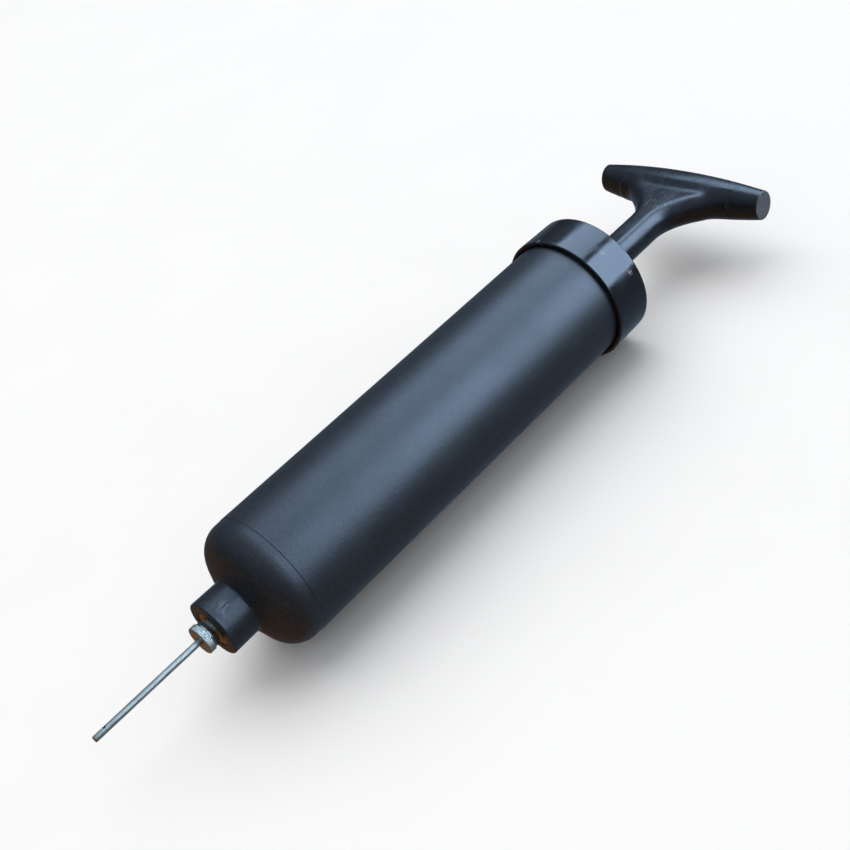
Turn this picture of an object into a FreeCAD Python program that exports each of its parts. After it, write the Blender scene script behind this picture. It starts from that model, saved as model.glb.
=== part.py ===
import FreeCAD, Part
import math
import os
import re

import Sketcher

# Hand pump for inflating balls, as an assembly of its separate pieces, in millimetres.
# The pump lies on its side: +X runs along its axis from the needle to the T-handle, +Z is up and
# the handle's crossbar lies along Y. The origin is on the axis, where the needle tube leaves the
# front face of its knurled head. The plunger is shown pushed in.

V = FreeCAD.Vector

# Driving sizes, in millimetres (angles in degrees). Every radius is a radius, not a diameter.
SIZES = {
    # needle: a thin tube with a side port, set in a knurled head with a threaded shank
    "needle_reach": 38.8,
    "needle_radius": 1.0,
    "needle_bore": 0.6,
    "needle_tip_round": 0.3,
    "needle_seat": 8.0,
    "needle_seat_radius": 0.8,
    "port_radius": 0.4,
    "port_setback": 4.0,
    "head_overhang": 0.87,
    "head_rim": 2.3,
    "head_chamfer": 0.35,
    "head_cone": 0.7,
    "collar_overhang": 0.4,
    "shank_radius": 3.85,
    "shank_length": 10.95,
    "washer_thickness": 0.9,
    # boss, threaded insert and outlet valve, from the boss face inwards
    "boss_offset": 5.0,
    "boss_wall": 3.45,
    "boss_length": 10.3,
    "boss_draft": 0.7,
    "boss_edge": 0.5,
    "insert_wall": 2.1,
    "insert_length": 10.8,
    "insert_inset": 0.2,
    "insert_chamfer": 0.35,
    "insert_groove_depth": 0.6,
    "gasket_thickness": 1.4,
    "gasket_bore": 2.6,
    "retainer_thickness": 1.5,
    "retainer_rim_height": 1.0,
    "retainer_rim_wall": 0.84,
    "retainer_hole": 1.3,
    "spring_room": 4.0,
    "spring_coil_radius": 2.6,
    "spring_wire_radius": 0.22,
    "spring_turns": 4.5,
    "disc_thickness": 1.6,
    "disc_spigot": 0.9,
    "disc_notch": 1.4,
    "seat_hole": 1.6,
    "seat_wall": 2.0,
    "tower_wall": 2.6,
    # barrel: a plain tube with a rounded bottom
    "barrel_radius": 22.0,
    "barrel_wall": 2.2,
    "barrel_length": 178.55,
    "dome_slope": 22.0,
    "dome_corner": 8.8,
    "mould_step_place": 23.5,
    "mould_step": 0.1,
    # cap, rod guide and bumper at the handle end
    "cap_wall": 1.9,
    "cap_taper": 0.4,
    "cap_height": 15.85,
    "cap_plate": 3.0,
    "cap_edge": 0.6,
    "cap_lip_gap": 0.6,
    "cap_lip_depth": 2.6,
    "guide_wall": 2.0,
    "guide_flange": 3.8,
    "guide_flange_thickness": 2.0,
    "bumper_thickness": 3.2,
    "bumper_wall": 4.2,
    # plunger: rod, piston and T-handle
    "rod_radius": 6.1,
    "rod_flat": 5.55,
    "piston_gap": 3.5,
    "screw_head_radius": 4.2,
    "screw_head_height": 2.4,
    "screw_radius": 2.4,
    "screw_length": 20.0,
    "screw_slot_width": 1.0,
    "screw_slot_depth": 1.1,
    "screw_washer_radius": 8.0,
    "screw_washer_thickness": 1.2,
    "piston_length": 9.0,
    "piston_side_gap": 0.5,
    "piston_socket": 4.0,
    "ring_section": 1.75,
    "ring_float": 0.55,
    "ring_front_wall": 2.2,
    "inlet_notch": 1.5,
    "crossbar_setback": 25.2,
    "crossbar_half_length": 34.3,
    "crossbar_bow": 0.9,
    "crossbar_end_depth": 4.65,
    "crossbar_end_height": 5.35,
    "crossbar_bulge": 2.7,
    "flare_bend": 23.1,
    "neck_length": 31.3,
    # clearances
    "running_gap": 0.05,
    "guide_gap": 0.08,
    "axial_gap": 0.05,
    "barrel_end_gap": 0.55,
}

INLET_NOTCHES = 6
DISC_NOTCHES = 4
CROSSBAR_STATIONS = (-1.0, -0.75, -0.5, -0.25, 0.0, 0.25, 0.5, 0.75, 1.0)

# Radii and places that follow from the driving sizes, as expressions.
HEAD_RADIUS = "(shank_radius + head_overhang)"
COLLAR_RADIUS = "(shank_radius + collar_overhang)"
INSERT_RADIUS = "(shank_radius + running_gap + insert_wall)"
BOSS_RADIUS = f"({INSERT_RADIUS} + boss_wall)"
CAP_RADIUS = "(barrel_radius + cap_wall)"
CAP_TOP_RADIUS = f"({CAP_RADIUS} - cap_taper)"
COLLAR_END = "(head_rim + head_cone)"
SHANK_END = f"({COLLAR_END} + shank_length)"
INSERT_START = "(boss_offset + insert_inset)"
INSERT_END = f"({INSERT_START} + insert_length)"
GASKET_END = f"({INSERT_END} + gasket_thickness)"
RETAINER_END = f"({GASKET_END} + retainer_thickness)"
DISC_START = f"({RETAINER_END} + spring_room)"
SEAT_FACE = f"({DISC_START} + disc_thickness + axial_gap)"
TOWER_END = f"({SEAT_FACE} + seat_wall)"
BOSS_END = "(boss_offset + boss_length)"
DOME_SLOPE = "tan(dome_slope * 1deg)"
DOME_APEX = f"({BOSS_END} - {BOSS_RADIUS} * {DOME_SLOPE})"
BARREL_END = "(boss_offset + barrel_length)"
BORE_RADIUS = "(barrel_radius - barrel_wall)"
CAP_END = f"({BARREL_END} + barrel_end_gap + cap_plate)"
CAP_START = f"({CAP_END} - cap_height)"
PLATE_FACE = f"({BARREL_END} + barrel_end_gap)"
FLARE_START = f"({CAP_END} + neck_length)"
CROSSBAR_PLACE = f"({FLARE_START} + crossbar_setback)"
GUIDE_START = f"({PLATE_FACE} - guide_flange_thickness)"
BUMPER_START = f"({GUIDE_START} - bumper_thickness)"
GUIDE_BORE = "(rod_radius + guide_gap)"
SCREW_START = f"({TOWER_END} + piston_gap - screw_head_height)"
SCREW_WASHER_START = f"({SCREW_START} + screw_head_height)"
PISTON_START = f"({SCREW_WASHER_START} + screw_washer_thickness)"
ROD_START = f"({PISTON_START} + piston_length - piston_socket)"
PISTON_RADIUS = f"({BORE_RADIUS} - piston_side_gap)"
RING_OUTER = f"({BORE_RADIUS} - running_gap)"
RING_CENTRE_RADIUS = f"({RING_OUTER} - ring_section)"
GROOVE_WIDTH = "(2 * ring_section + 2 * ring_float)"
GROOVE_RADIUS = f"({RING_OUTER} - 2 * ring_section - running_gap)"
GROOVE_CENTRE = f"(ring_front_wall + {GROOVE_WIDTH} / 2)"

doc = FreeCAD.newDocument("ball_pump")
sheet = doc.addObject("Spreadsheet::Sheet", "Sizes")
for row, (alias, number) in enumerate(SIZES.items(), start=1):
    sheet.set(f"A{row}", alias)
    sheet.set(f"B{row}", str(number))
    sheet.setAlias(f"B{row}", alias)
doc.recompute()


def bound(expression):
    """The expression with each driving size written as a cell of the sheet."""
    return re.sub(
        r"[a-z][a-z_]*",
        lambda word: "Sizes." + word.group() if word.group() in SIZES else word.group(),
        str(expression),
    )


def value(expression):
    """The number an expression of driving sizes comes to."""
    return float(sheet.evalExpression(bound(expression)))


def place_along_axis(piece, place):
    """Puts a piece's own origin at a place on the pump's axis."""
    piece.setExpression("Placement.Base.x", bound(place))


def new_body(name, place="0"):
    body = doc.addObject("PartDesign::Body", name)
    body.Label = name
    place_along_axis(body, place)
    return body


def base_plane(body, role):
    return next(feature for feature in body.Origin.OriginFeatures if feature.Role == role)


def new_sketch(body, name, role, offset="0"):
    """A sketch on one of the body's own origin planes, moved along the plane's normal."""
    sketch = body.newObject("Sketcher::SketchObject", name)
    sketch.AttachmentSupport = [(base_plane(body, role), "")]
    sketch.MapMode = "FlatFace"
    sketch.setExpression("AttachmentOffset.Base.z", bound(offset))
    return sketch


def fix_point(sketch, geometry, end, place, ways=("DistanceX", "DistanceY")):
    """Ties one point of a sketch to a place given by two expressions, in both ways or one."""
    for kind, axis, expression in (("DistanceX", -2, place[0]), ("DistanceY", -1, place[1])):
        if kind not in ways:
            continue
        if str(expression) == "0":
            sketch.addConstraint(Sketcher.Constraint("PointOnObject", geometry, end, axis))
            continue
        number = value(expression)
        index = sketch.addConstraint(
            Sketcher.Constraint(kind, -1, 1, geometry, end, number)
        )
        sketch.setExpression(f"Constraints[{index}]", bound(expression))


def rounded_corner(before, corner, after, radius):
    """
    The arc that rounds a corner between two lines, always anticlockwise, with the points where
    it leaves the first line and meets the second.
    """
    to_before = (before - corner).normalize()
    to_after = (after - corner).normalize()
    half = to_before.getAngle(to_after) / 2
    centre = corner + (to_before + to_after).normalize() * (radius / math.sin(half))
    leaves = corner + to_before * (radius / math.tan(half))
    meets = corner + to_after * (radius / math.tan(half))
    anticlockwise = (leaves - centre).cross(meets - centre).z > 0
    start, end = (leaves, meets) if anticlockwise else (meets, leaves)
    angles = [math.atan2(point.y - centre.y, point.x - centre.x) for point in (start, end)]
    if angles[1] < angles[0]:
        angles[1] += 2 * math.pi
    arc = Part.ArcOfCircle(Part.Circle(centre, V(0, 0, 1), radius), *angles)
    return arc, leaves, meets, anticlockwise


def draw_outline(sketch, corners):
    """
    A closed outline through corners, each (x, y) or (x, y, radius) as expressions. A corner with
    a radius is rounded by an arc that is tangent to both of its lines.
    """
    count = len(corners)
    sharp = [V(value(corner[0]), value(corner[1]), 0) for corner in corners]
    starts, ends, arcs = list(sharp), list(sharp), {}
    for i, corner in enumerate(corners):
        if len(corner) == 3:
            arcs[i] = rounded_corner(
                sharp[i - 1], sharp[i], sharp[(i + 1) % count], value(corner[2])
            )
            ends[i], starts[i] = arcs[i][1], arcs[i][2]
    lines = [
        sketch.addGeometry(Part.LineSegment(starts[i], ends[(i + 1) % count]), False)
        for i in range(count)
    ]
    for i, corner in enumerate(corners):
        line_in, line_out = lines[i - 1], lines[i]
        if i not in arcs:
            sketch.addConstraint(Sketcher.Constraint("Coincident", line_in, 2, line_out, 1))
            fix_point(sketch, line_out, 1, corner)
            continue
        arc = sketch.addGeometry(arcs[i][0], False)
        first, last = (1, 2) if arcs[i][3] else (2, 1)
        sketch.addConstraint(Sketcher.Constraint("Tangent", line_in, 2, arc, first))
        sketch.addConstraint(Sketcher.Constraint("Tangent", arc, last, line_out, 1))
        radius = sketch.addConstraint(Sketcher.Constraint("Radius", arc, value(corner[2])))
        sketch.setExpression(f"Constraints[{radius}]", bound(corner[2]))
        point = sketch.addGeometry(Part.Point(sharp[i]), True)
        fix_point(sketch, point, 1, corner)
        sketch.addConstraint(Sketcher.Constraint("PointOnObject", point, 1, line_in))
        sketch.addConstraint(Sketcher.Constraint("PointOnObject", point, 1, line_out))


def draw_circle(sketch, place, radius):
    centre = V(value(place[0]), value(place[1]), 0)
    circle = sketch.addGeometry(Part.Circle(centre, V(0, 0, 1), value(radius)), False)
    fix_point(sketch, circle, 3, place)
    index = sketch.addConstraint(Sketcher.Constraint("Radius", circle, value(radius)))
    sketch.setExpression(f"Constraints[{index}]", bound(radius))


def turn(body, name, corners):
    """Revolves an outline of (place along the axis, radius) corners about the pump's axis."""
    sketch = new_sketch(body, f"{name}_outline", "XY_Plane")
    draw_outline(sketch, corners)
    feature = body.newObject("PartDesign::Revolution", name)
    feature.Profile = sketch
    feature.ReferenceAxis = (sketch, ["H_Axis"])
    feature.Angle = 360
    return feature


def pocket_through(body, name, sketch, pattern_count=0):
    """
    Cuts a sketch right through the body in both directions, then repeats the cut around the
    axis where a count is given.
    """
    doc.recompute()
    before = body.Shape.Volume
    cut = body.newObject("PartDesign::Pocket", name)
    cut.Profile = sketch
    cut.Type = "ThroughAll"
    cut.Midplane = True
    doc.recompute()
    if not cut.Shape.Volume < before:
        raise RuntimeError(f"{name} cuts nothing")
    if pattern_count:
        pattern = body.newObject("PartDesign::PolarPattern", f"{name}_pattern")
        pattern.Originals = [cut]
        pattern.Axis = (base_plane(body, "X_Axis"), [""])
        pattern.Angle = 360
        pattern.Occurrences = pattern_count
        body.Tip = pattern


def ring_blank(name, place, length, inner, outer):
    """A plain ring on the axis."""
    body = new_body(name, place)
    turn(body, f"{name}_ring", [("0", inner), ("0", outer), (length, outer), (length, inner)])
    return body


def make_needle_tube():
    """
    Thin tube, open at its rounded tip, with a round port across it near the tip. Its other end
    is drawn in a little where it sits in the head.
    """
    body = new_body("needle_tube", "-needle_reach")
    length = "(needle_reach + needle_seat)"
    turn(body, "tube", [
        ("0", "needle_bore"),
        ("0", "needle_radius", "needle_tip_round"),
        ("needle_reach", "needle_radius"),
        ("needle_reach", "needle_seat_radius"),
        (length, "needle_seat_radius"),
        (length, "needle_bore"),
    ])
    sketch = new_sketch(body, "port_outline", "XY_Plane")
    draw_circle(sketch, ("port_setback", "0"), "port_radius")
    pocket_through(body, "port", sketch)
    return body


def make_needle_head():
    """Knurled head with a short collar and a threaded shank; the tube sits in its front."""
    body = new_body("needle_head")
    turn(body, "head", [
        ("0", "needle_seat_radius"),
        ("0", f"{HEAD_RADIUS} - head_chamfer"),
        ("head_chamfer", HEAD_RADIUS),
        ("head_rim - head_chamfer", HEAD_RADIUS),
        ("head_rim", f"{HEAD_RADIUS} - head_chamfer"),
        (COLLAR_END, COLLAR_RADIUS),
        (COLLAR_END, "shank_radius"),
        (f"{SHANK_END} - head_chamfer", "shank_radius"),
        (SHANK_END, "shank_radius - head_chamfer"),
        (SHANK_END, "needle_bore"),
        ("needle_seat", "needle_bore"),
        ("needle_seat", "needle_seat_radius"),
    ])
    return body


def make_needle_washer():
    """Sealing washer that rides on the shank under the collar."""
    inner = "shank_radius + running_gap"
    place = f"{COLLAR_END} + axial_gap"
    return ring_blank("needle_washer", place, "washer_thickness", inner, COLLAR_RADIUS)


def make_nozzle_insert():
    """Metal insert that the needle screws into, with a grip groove around its middle."""
    body = new_body("nozzle_insert", INSERT_START)
    thread = "(shank_radius + running_gap)"
    turn(body, "insert", [
        ("0", f"{thread} + insert_chamfer"),
        ("0", INSERT_RADIUS),
        ("insert_length / 3", INSERT_RADIUS),
        ("insert_length / 3", f"{INSERT_RADIUS} - insert_groove_depth"),
        ("2 * insert_length / 3", f"{INSERT_RADIUS} - insert_groove_depth"),
        ("2 * insert_length / 3", INSERT_RADIUS),
        ("insert_length", INSERT_RADIUS),
        ("insert_length", thread),
        ("insert_chamfer", thread),
    ])
    return body


def make_nozzle_gasket():
    """Rubber ring behind the insert, which the needle's shank end seats on."""
    return ring_blank(
        "nozzle_gasket", INSERT_END, "gasket_thickness", "gasket_bore", INSERT_RADIUS
    )


def make_valve_retainer():
    """Holed disc that backs the valve spring, with a low rim around the spring."""
    body = new_body("valve_retainer", GASKET_END)
    rim_inner = "(spring_coil_radius + 3 * spring_wire_radius)"
    rim_outer = f"({rim_inner} + retainer_rim_wall)"
    rim_end = "(retainer_thickness + retainer_rim_height)"
    turn(body, "retainer", [
        ("0", "retainer_hole"),
        ("0", INSERT_RADIUS),
        ("retainer_thickness", INSERT_RADIUS),
        ("retainer_thickness", rim_outer),
        (rim_end, rim_outer),
        (rim_end, rim_inner),
        ("retainer_thickness", rim_inner),
        ("retainer_thickness", "retainer_hole"),
    ])
    return body


def make_valve_spring():
    """Coil spring between the retainer and the valve disc."""
    body = new_body("valve_spring", RETAINER_END)
    sketch = new_sketch(body, "wire_section", "XY_Plane")
    draw_circle(sketch, ("spring_wire_radius", "spring_coil_radius"), "spring_wire_radius")
    coil = body.newObject("PartDesign::AdditiveHelix", "coil")
    coil.Profile = sketch
    coil.ReferenceAxis = (sketch, ["H_Axis"])
    coil.Mode = "height-turns-angle"
    coil.setExpression("Height", bound("spring_room - 2 * spring_wire_radius - axial_gap"))
    coil.setExpression("Turns", bound("spring_turns"))
    return body


def make_valve_disc():
    """Outlet valve: a notched disc that the spring holds on its seat."""
    body = new_body("valve_disc", DISC_START)
    spigot = "(spring_coil_radius - 3 * spring_wire_radius)"
    outer = f"({INSERT_RADIUS} - 4 * running_gap)"
    turn(body, "disc", [
        ("-disc_spigot", "0"),
        ("-disc_spigot", spigot),
        ("0", spigot),
        ("0", outer),
        ("disc_thickness", outer),
        ("disc_thickness", "0"),
    ])
    sketch = new_sketch(body, "notch_outline", "YZ_Plane")
    draw_circle(sketch, (outer, "0"), "disc_notch")
    pocket_through(body, "notch", sketch, DISC_NOTCHES)
    return body


def make_barrel():
    """
    The barrel moulding: tube, coned and rounded bottom, outer boss and the inner tower that holds the
    outlet valve, with a fine mould step around the foot of the tube.
    """
    body = new_body("barrel")
    boss_foot = f"({BOSS_RADIUS} - boss_length * tan(boss_draft * 1deg))"
    floor = f"({DOME_APEX} + barrel_wall)"
    tower = f"({INSERT_RADIUS} + tower_wall)"
    step_place = "(boss_offset + mould_step_place)"
    turn(body, "shell", [
        ("boss_offset", INSERT_RADIUS),
        ("boss_offset", BOSS_RADIUS, "boss_edge"),
        (BOSS_END, boss_foot),
        (f"{DOME_APEX} + barrel_radius * {DOME_SLOPE}", "barrel_radius - mould_step", "dome_corner"),
        (step_place, "barrel_radius - mould_step"),
        (step_place, "barrel_radius"),
        (BARREL_END, "barrel_radius"),
        (BARREL_END, BORE_RADIUS),
        (f"{floor} + {BORE_RADIUS} * {DOME_SLOPE}", BORE_RADIUS, "dome_corner - barrel_wall"),
        (f"{floor} + {tower} * {DOME_SLOPE}", tower),
        (TOWER_END, tower),
        (TOWER_END, "seat_hole"),
        (SEAT_FACE, "seat_hole"),
        (SEAT_FACE, INSERT_RADIUS),
    ])
    return body


def make_barrel_cap():
    """Cap over the barrel's open end: a skirt that grips the tube and a holed end plate."""
    body = new_body("barrel_cap", CAP_START)
    plate = "(cap_height - cap_plate)"
    hub = f"({GUIDE_BORE} + guide_wall)"
    turn(body, "cap", [
        ("0", "barrel_radius + cap_lip_gap"),
        ("0", CAP_RADIUS, "cap_edge"),
        ("cap_height", CAP_TOP_RADIUS, "cap_edge"),
        ("cap_height", hub),
        (plate, hub),
        (plate, "barrel_radius"),
        ("cap_lip_depth", "barrel_radius"),
        ("cap_lip_depth", "barrel_radius + cap_lip_gap"),
    ])
    return body


def make_rod_guide():
    """Bush that guides the rod through the cap, held by its flange under the end plate."""
    body = new_body("rod_guide", GUIDE_START)
    length = "(guide_flange_thickness + cap_plate)"
    hub = f"({GUIDE_BORE} + guide_wall)"
    turn(body, "guide", [
        ("0", GUIDE_BORE),
        ("0", f"{hub} + guide_flange"),
        ("guide_flange_thickness", f"{hub} + guide_flange"),
        ("guide_flange_thickness", hub),
        (length, hub),
        (length, GUIDE_BORE),
    ])
    return body


def make_cap_bumper():
    """Soft ring under the guide that stops the piston at the end of its stroke."""
    inner = f"({GUIDE_BORE} + 8 * running_gap)"
    return ring_blank(
        "cap_bumper", BUMPER_START, "bumper_thickness", inner, f"{inner} + bumper_wall"
    )


def make_piston_screw():
    """Slotted pan-head screw that holds the piston on the rod."""
    body = new_body("piston_screw", SCREW_START)
    tip = "(screw_head_height + screw_length)"
    turn(body, "screw", [
        ("0", "0"),
        ("0", "screw_head_radius", "screw_head_height / 3"),
        ("screw_head_height", "screw_head_radius"),
        ("screw_head_height", "screw_radius"),
        (f"{tip} - screw_radius / 2", "screw_radius"),
        (tip, "screw_radius / 2"),
        (tip, "0"),
    ])
    sketch = new_sketch(body, "slot_outline", "XY_Plane")
    half = "screw_slot_width / 2"
    draw_outline(sketch, [
        ("-screw_slot_depth", f"-{half}"),
        ("screw_slot_depth", f"-{half}"),
        ("screw_slot_depth", half),
        ("-screw_slot_depth", half),
    ])
    pocket_through(body, "slot", sketch)
    return body


def make_screw_washer():
    """Flat washer between the screw head and the piston."""
    return ring_blank(
        "screw_washer", SCREW_WASHER_START, "screw_washer_thickness",
        "screw_radius + running_gap", "screw_washer_radius",
    )


def make_piston_head():
    """
    Grooved piston. The groove is wider than its ring, and notches in the rear wall let air past
    the ring when the piston is drawn back.
    """
    body = new_body("piston_head", PISTON_START)
    groove_end = f"(ring_front_wall + {GROOVE_WIDTH})"
    socket = "(piston_length - piston_socket)"
    turn(body, "piston", [
        ("0", "screw_radius + running_gap"),
        ("0", PISTON_RADIUS),
        ("ring_front_wall", PISTON_RADIUS),
        ("ring_front_wall", GROOVE_RADIUS),
        (groove_end, GROOVE_RADIUS),
        (groove_end, PISTON_RADIUS),
        ("piston_length", PISTON_RADIUS),
        ("piston_length", "rod_radius"),
        (socket, "rod_radius"),
        (socket, "screw_radius + running_gap"),
    ])
    sketch = new_sketch(body, "notch_outline", "YZ_Plane", groove_end)
    draw_circle(sketch, (PISTON_RADIUS, "0"), "inlet_notch")
    doc.recompute()
    before = body.Shape.Volume
    cut = body.newObject("PartDesign::Pocket", "inlet_notch_cut")
    cut.Profile = sketch
    cut.Type = "ThroughAll"
    cut.Reversed = True
    doc.recompute()
    if not cut.Shape.Volume < before:
        raise RuntimeError("the inlet notch cuts nothing")
    pattern = body.newObject("PartDesign::PolarPattern", "inlet_notches")
    pattern.Originals = [cut]
    pattern.Axis = (base_plane(body, "X_Axis"), [""])
    pattern.Angle = 360
    pattern.Occurrences = INLET_NOTCHES
    body.Tip = pattern
    return body


def make_piston_ring():
    """Rubber ring that seals the piston against the bore, floating in the piston's groove."""
    ring = doc.addObject("Part::Torus", "piston_ring")
    ring.Label = "piston_ring"
    ring.setExpression("Radius1", bound(RING_CENTRE_RADIUS))
    ring.setExpression("Radius2", bound("ring_section"))
    ring.Placement.Rotation = FreeCAD.Rotation(V(0, 1, 0), 90)
    place_along_axis(ring, f"{PISTON_START} + {GROOVE_CENTRE}")
    return ring


def draw_oval(sketch, centre_x, half_width, half_height):
    """An oval on the sketch's own horizontal axis: a circle where its two half sizes agree."""
    wide, tall = value(half_width), value(half_height)
    if math.isclose(wide, tall):
        draw_circle(sketch, (centre_x, "0"), half_width)
        return
    centre, across, up = V(value(centre_x), 0, 0), V(wide, 0, 0), V(0, tall, 0)
    long_way, short_way = (across, up) if wide > tall else (up, across)
    oval = sketch.addGeometry(
        Part.Ellipse(centre + long_way, centre + short_way, centre), False
    )
    sketch.exposeInternalGeometry(oval)
    long_axis, short_axis = oval + 1, oval + 2
    fix_point(sketch, oval, 3, (centre_x, "0"))
    horizontal, vertical = (long_axis, short_axis) if wide > tall else (short_axis, long_axis)
    sketch.addConstraint(Sketcher.Constraint("Vertical", vertical))
    for line, half in ((horizontal, half_width), (vertical, half_height)):
        index = sketch.addConstraint(Sketcher.Constraint("Distance", line, 2 * value(half)))
        sketch.setExpression(f"Constraints[{index}]", bound(f"2 * ({half})"))


def add_crossbar(body):
    """The grip: oval sections along Y, thickest at the middle, where it bows to the barrel."""
    sections = []
    for number, station in enumerate(CROSSBAR_STATIONS):
        swell = f"(1 - ({station}) * ({station}))"
        sketch = new_sketch(
            body, f"grip_section_{number}", "XZ_Plane", f"-({station}) * crossbar_half_length"
        )
        draw_oval(
            sketch,
            f"{CROSSBAR_PLACE} - crossbar_bow * {swell}",
            f"crossbar_end_depth + crossbar_bulge * {swell}",
            f"crossbar_end_height + crossbar_bulge * {swell}",
        )
        sections.append(sketch)
    grip = body.newObject("PartDesign::AdditiveLoft", "grip")
    grip.Profile = sections[0]
    grip.Sections = sections[1:]
    return grip


def add_rod(body):
    sketch = new_sketch(body, "rod_section", "YZ_Plane", ROD_START)
    draw_circle(sketch, ("0", "0"), "rod_radius")
    rod = body.newObject("PartDesign::Pad", "rod")
    rod.Profile = sketch
    rod.setExpression("Length", bound(f"{FLARE_START} - {ROD_START}"))


def add_flares(body):
    """Two limbs of the rod's own radius that curve out from its end into the crossbar."""
    sketch = new_sketch(body, "flare_section", "YZ_Plane", FLARE_START)
    draw_circle(sketch, ("0", "0"), "rod_radius")
    bend, half_pivot = value("flare_bend"), value("rod_radius")
    pivot = sketch.addGeometry(
        Part.LineSegment(V(bend, -half_pivot, 0), V(bend, half_pivot, 0)), True
    )
    sketch.addConstraint(Sketcher.Constraint("Vertical", pivot))
    fix_point(sketch, pivot, 1, ("flare_bend", "-rod_radius"))
    fix_point(sketch, pivot, 2, ("flare_bend", "rod_radius"), ("DistanceY",))
    doc.recompute()
    limb = body.newObject("PartDesign::Revolution", "flare")
    limb.Profile = sketch
    limb.ReferenceAxis = (sketch, ["Axis0"])
    limb.Angle = 90
    doc.recompute()
    if limb.Shape.BoundBox.XMax < value(FLARE_START) + bend / 2:
        limb.Reversed = True
    mirror = body.newObject("PartDesign::Mirrored", "flare_pair")
    mirror.Originals = [limb]
    mirror.MirrorPlane = (base_plane(body, "XZ_Plane"), [""])
    body.Tip = mirror


def add_web(body):
    """The flat web between the two limbs, bounded by chords of their centre lines."""
    across, along = "flare_bend * (1 - cos(45deg))", "flare_bend * sin(45deg)"
    sketch = new_sketch(body, "web_outline", "XY_Plane")
    draw_outline(sketch, [
        (FLARE_START, "0"),
        (f"{FLARE_START} + {along}", f"-{across}"),
        (f"{FLARE_START} + flare_bend", "-flare_bend"),
        (f"{FLARE_START} + flare_bend", "flare_bend"),
        (f"{FLARE_START} + {along}", across),
    ])
    web = body.newObject("PartDesign::Pad", "web")
    web.Profile = sketch
    web.Midplane = True
    web.setExpression("Length", bound("2 * rod_flat"))


def cut_flats(body):
    """Two flats along the rod and over the flare, above and below."""
    side = "(flare_bend + 2 * rod_radius)"
    sketch = new_sketch(body, "flat_outline", "XY_Plane", "rod_flat")
    draw_outline(sketch, [
        (f"{ROD_START} - rod_radius", f"-{side}"),
        (f"{FLARE_START} + {side}", f"-{side}"),
        (f"{FLARE_START} + {side}", side),
        (f"{ROD_START} - rod_radius", side),
    ])
    doc.recompute()
    before = body.Shape.Volume
    flat = body.newObject("PartDesign::Pocket", "upper_flat")
    flat.Profile = sketch
    flat.Type = "ThroughAll"
    flat.Reversed = True
    doc.recompute()
    if not 0 < before - flat.Shape.Volume < before / 2:
        raise RuntimeError("the flat cuts on the wrong side")
    mirror = body.newObject("PartDesign::Mirrored", "flat_pair")
    mirror.Originals = [flat]
    mirror.MirrorPlane = (base_plane(body, "XY_Plane"), [""])
    body.Tip = mirror


def cut_pilot_hole(body):
    """The screw's hole in the rod's end."""
    sketch = new_sketch(body, "pilot_outline", "YZ_Plane", ROD_START)
    draw_circle(sketch, ("0", "0"), "screw_radius")
    doc.recompute()
    before = body.Shape.Volume
    hole = body.newObject("PartDesign::Pocket", "pilot_hole")
    hole.Profile = sketch
    depth = f"{SCREW_WASHER_START} + screw_length + axial_gap - {ROD_START}"
    hole.setExpression("Length", bound(depth))
    hole.Reversed = True
    doc.recompute()
    if not hole.Shape.Volume < before:
        raise RuntimeError("the pilot hole cuts nothing")


def make_handle():
    """Rod, flared neck and crossbar, moulded in one."""
    body = new_body("handle")
    add_rod(body)
    add_flares(body)
    add_web(body)
    cut_flats(body)
    add_crossbar(body)
    cut_pilot_hole(body)
    return body


def check_document():
    """Stops on any object that failed to compute."""
    doc.recompute()
    for item in doc.Objects:
        if "Invalid" in item.State or "Error" in item.State:
            raise RuntimeError(f"{item.Name} did not compute")


def write_parts(pieces):
    for piece in pieces:
        if piece.Shape.isNull() or not piece.Shape.isValid():
            raise RuntimeError(f"{piece.Label} has no valid shape")
    os.makedirs("parts", exist_ok=True)
    for piece in pieces:
        piece.Shape.exportStep(f"parts/{piece.Label}.step")
        print(f"{piece.Label}: {piece.Shape.Volume:.1f} mm3, {len(piece.Shape.Solids)} solid(s)")


parts = [
    make_needle_tube(),
    make_needle_head(),
    make_needle_washer(),
    make_nozzle_insert(),
    make_nozzle_gasket(),
    make_valve_retainer(),
    make_valve_spring(),
    make_valve_disc(),
    make_barrel(),
    make_barrel_cap(),
    make_rod_guide(),
    make_cap_bumper(),
    make_piston_screw(),
    make_screw_washer(),
    make_piston_head(),
    make_piston_ring(),
    make_handle(),
]
check_document()
write_parts(parts)
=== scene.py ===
import math

import bpy
import numpy as np
from bpy.props import FloatProperty, FloatVectorProperty, IntProperty, PointerProperty
from mathutils import Matrix, Vector


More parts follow.
